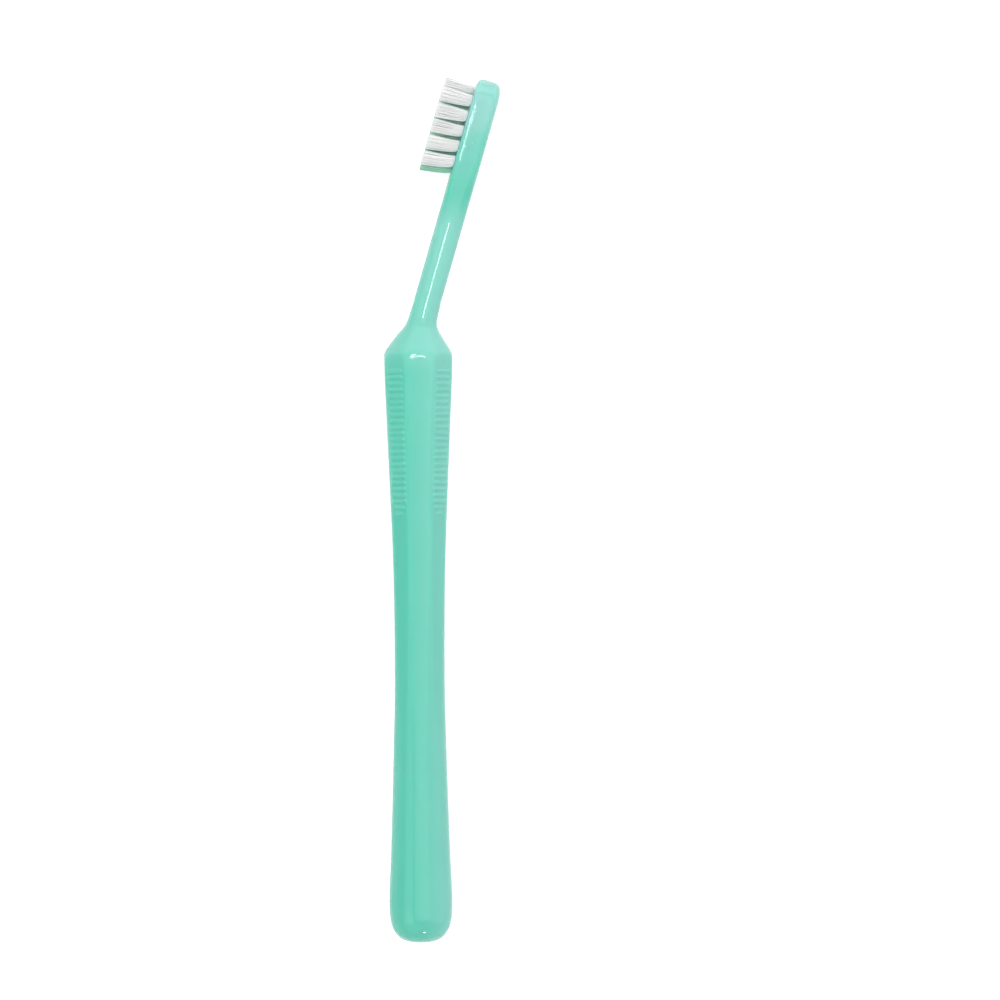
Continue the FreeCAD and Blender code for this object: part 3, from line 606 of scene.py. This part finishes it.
def makeTuft(column, number, rng):
    # each strand is one U: down one side of the anchor, round under its foot and up the other side
    # an arm moves out and leans by a power of its share of the height, plus its own small stray
    sizes = tuftSizes
    places = strandPlaces()
    count = len(places)
    radius = sizes["strandRadius"]
    height = sizes["height"]
    foldHeight = sizes["foldHeight"]
    armHeights = np.array((height, height - 0.06, 3.4, 1.1, 0.35, -0.2, foldHeight))
    foldAngles = np.radians((40.0, 90.0, 140.0))
    steps = number - 1 + (max(columns.values()) - columns[column]) / 2
    leanNow = sizes["lean"] * steps / (max(columns.values()) - 1)
    sideLean = 0 if column == "middle" else sizes["nearLean"]
    halfSlit = sizes["slitWidth"] / 2
    arms = []
    for way in (1, -1):
        along, side = places[:, 0, None], places[:, 1, None]
        rise = np.clip(armHeights / height, 0, 1)[None, :]
        share = rise ** sizes["spreadPower"]
        short = rng.uniform(0, sizes["shortest"], (count, 1)) * (share > 0.5)
        stray = rng.normal(0, sizes["stray"], (2, count, 1)) * rise
        tipSide = (side - halfSlit) * sizes["tipRadius"] / (sizes["rootRadius"] - halfSlit)
        tipAlong = along * sizes["tipRadius"] / sizes["rootRadius"]
        armAlong = along + (tipAlong - along) * share + stray[0]
        armAlong = armAlong - leanNow * rise ** sizes["leanPower"] - sideLean * share
        armSide = side + (tipSide - side) * share + stray[1]
        arm = np.stack(np.broadcast_arrays(armAlong, armHeights[None, :] - short, way * armSide), axis=-1)
        arms.append(arm)
    least, more = sizes["foldDepth"]
    deep = least + more * (places[:, 1, None] / sizes["rootRadius"])
    fold = np.stack(np.broadcast_arrays(
        places[:, 0, None],
        foldHeight - deep * np.sin(foldAngles),
        places[:, 1, None] * np.cos(foldAngles),
    ), axis=-1)
    path = np.concatenate((arms[0], fold, arms[1][:, ::-1]), axis=1)
    rings = path.shape[1]
    # a ring of points square to the path, turned the same way all along it
    toward = np.gradient(path, axis=1)
    toward /= np.linalg.norm(toward, axis=-1, keepdims=True)
    first = np.array((1.0, 0.0, 0.0)) - toward * toward[..., :1]
    first /= np.linalg.norm(first, axis=-1, keepdims=True)
    second = np.cross(toward, first)
    thick = np.full(rings, radius)
    thick[[0, -1]] *= sizes["endTaper"]
    sides = sizes["strandSides"]
    angle = np.arange(sides) * 2 * math.pi / sides
    around = first[:, :, None] * np.cos(angle)[:, None] + second[:, :, None] * np.sin(angle)[:, None]
    points = path[:, :, None] + around * thick[None, :, None, None]
    starts = (np.arange(count) * rings * sides)[:, None, None]
    walls = (gridFaces(rings, sides)[:, ::-1] + starts).reshape(-1, 4)
    ends = np.stack((np.arange(sides)[::-1], np.arange(sides) + (rings - 1) * sides))
    faces = [walls, (ends + starts).reshape(-1, sides)]
    points = points.reshape(-1, 3)
    placed = fromTuft(tuftPlaces[column, number], points[:, 0], points[:, 1], points[:, 2])
    # painted shade: the middle column's tufts below the top one are painted green, for shade tinted by light
    # from the mint head
    nylon = paintedGreenShadeNylon if column == "middle" and number > 1 else whiteNylon
    tuft = meshPiece(f"bristles_{column}_{number}", placed, faces, nylon)
    tone = np.repeat(rng.uniform(0, 1, count), rings * sides)
    strandTone = tuft.data.attributes.new("strandTone", "FLOAT", "POINT")
    strandTone.data.foreach_set("value", tone.astype(np.float32))
    tuft.data.shade_smooth()
    return tuft


rng = np.random.default_rng(tuftSizes["seed"])
for column, number in tuftPlaces:
    tuft = makeTuft(column, number, rng)
    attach(tuft, "root")
    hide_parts(f"tuft_{column}_{number}")
    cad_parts[f"anchor_{column}_{number}"].data.materials[0] = brass
print("bristles made")


stageSizes = {
    "floorHalf": 3.0,        # metres
    "floorColour": "#F4F4F4",
    "floorLift": 0.5,        # the floor's own glow for the camera
    "floorGloss": 0.25,      # and for the gloss
    "worldStrength": 0.26,   # the world's light
    "worldGloss": 0.85,      # and what the gloss sees of it
}
# each lamp's place and target in metres, turn about the vertical in degrees, width, length and radiance: the
# strip draws the line on the neck, the sparks the arch on the shoulder and the dot on the butt
lampSizes = {
    "neckStrip": ((-0.0413, 0.1074, 0.4545), (-0.0413, 0.1074, 0.0), 73.7, 0.078, 0.052, 20.0),
    "shoulderSpark": ((-0.0044, 0.0350, 0.075), (-0.0044, 0.0350, 0.0), 0.0, 0.012, 0.0020, 20.0),
    "topSoftbox": ((0.06, 0.22, 1.1), (0.06, 0.22, 0.0), 0.0, 1.15, 1.5, 1.18),
    "farSoftbox": ((0.1, 0.95, 0.3), (0.0, 0.03, 0.01), 0.0, 2.4, 0.55, 1.2),
    "rightSoftbox": ((1.0, 0.0, 0.55), (0.0, 0.0, 0.01), 90.0, 1.2, 1.2, 0.65),
    "lowSoftbox": ((-0.65, -0.75, 0.6), (0.0, 0.0, 0.01), -41.0, 1.2, 0.9, 0.55),
    "leftSoftbox": ((-0.82, 0.0, 0.76), (0.0, 0.0, 0.01), 90.0, 1.4, 0.65, 0.9),
    "lowSpark": ((0.0185, -0.2225, 0.0745), (-0.0035, -0.0925, 0.01), 10.0, 0.012, 0.011, 50.0),
}


def makeFloor():
    corners = np.array(((-1, -1, 0), (1, -1, 0), (1, 1, 0), (-1, 1, 0))) * stageSizes["floorHalf"]
    floor = meshPiece("studioFloor", corners, [np.array(((0, 1, 2, 3),))], None)
    material, tree = newMaterial("whitePaper")
    paths = addNode(tree, "ShaderNodeLightPath")
    paper = addNode(tree, "ShaderNodeBsdfDiffuse", Color=srgb(stageSizes["floorColour"]))
    seen = addNode(tree, "ShaderNodeMath", {0: paths.outputs["Is Camera Ray"]}, operation="MULTIPLY")
    seen.inputs[1].default_value = stageSizes["floorLift"]
    seen = addNode(tree, "ShaderNodeMath", {0: paths.outputs["Is Glossy Ray"], 2: seen.outputs[0]},
                   operation="MULTIPLY_ADD")
    seen.inputs[1].default_value = stageSizes["floorGloss"]
    glow = addNode(tree, "ShaderNodeEmission", {"Strength": seen.outputs[0]})
    both = addNode(tree, "ShaderNodeAddShader", {0: paper.outputs[0], 1: glow.outputs[0]})
    addNode(tree, "ShaderNodeOutputMaterial", {"Surface": both.outputs[0]})
    floor.data.materials.clear()
    floor.data.materials.append(material)


def addLamp(name, place, target, turn, width, length, radiance):
    # a rectangle that faces its target, with its width along a level line turned from +X
    # watts are pi x area x radiance
    lamp = bpy.data.lights.new(name, "AREA")
    lamp.shape = "RECTANGLE"
    lamp.size, lamp.size_y = width, length
    lamp.energy = math.pi * width * length * radiance
    away = (Vector(place) - Vector(target)).normalized()
    level = Vector((math.cos(math.radians(turn)), math.sin(math.radians(turn)), 0))
    level = (level - away * level.dot(away)).normalized()
    holder = bpy.data.objects.new(name, lamp)
    bpy.context.scene.collection.objects.link(holder)
    holder.matrix_world = Matrix((level, away.cross(level), away)).transposed().to_4x4()
    holder.location = place
    holder.visible_camera = False


def makeWorld():
    world = bpy.data.worlds.new("studio")
    bpy.context.scene.world = world
    world.use_nodes = True
    tree = world.node_tree
    tree.nodes.clear()
    paths = addNode(tree, "ShaderNodeLightPath")
    strength = addNode(tree, "ShaderNodeMapRange", {"Value": paths.outputs["Is Glossy Ray"]},
                       To_Min=stageSizes["worldStrength"], To_Max=stageSizes["worldGloss"])
    sky = addNode(tree, "ShaderNodeBackground", {"Strength": strength.outputs["Result"]}, Color=(1, 1, 1, 1))
    addNode(tree, "ShaderNodeOutputWorld", {"Surface": sky.outputs["Background"]})


makeFloor()
makeWorld()
for name, values in lampSizes.items():
    addLamp(name, *values)

cameraSizes = {
    "distance": 1.5,             # metres
    "tilt": 3.0,                 # degrees towards the bristles
    "roll": -0.33,
    "width": 220.6,              # mm across the picture
    "middle": (17.96, 97.4),     # mm from the butt's middle
    "sensor": 36.0,
    "clipEnd": 10.0,             # metres
}
cameraData = bpy.data.cameras.new("camera")
cameraData.sensor_width = cameraSizes["sensor"]
cameraData.lens = cameraSizes["sensor"] * cameraSizes["distance"] / (cameraSizes["width"] * mm)
cameraData.clip_end = cameraSizes["clipEnd"]
target = Vector(toFrame(*cameraSizes["middle"], 0.0))
tilt = math.radians(cameraSizes["tilt"])
camera = bpy.data.objects.new("camera", cameraData)
bpy.context.scene.collection.objects.link(camera)
camera.location = target + Vector((-math.sin(tilt), 0, math.cos(tilt))) * cameraSizes["distance"]
roll = math.radians(cameraSizes["roll"])
camera.rotation_euler = (Matrix.Rotation(-tilt, 3, "Y") @ Matrix.Rotation(roll, 3, "Z")).to_euler()
bpy.context.scene.camera = camera
bpy.context.scene.view_settings.view_transform = "Standard"
print("stage set")
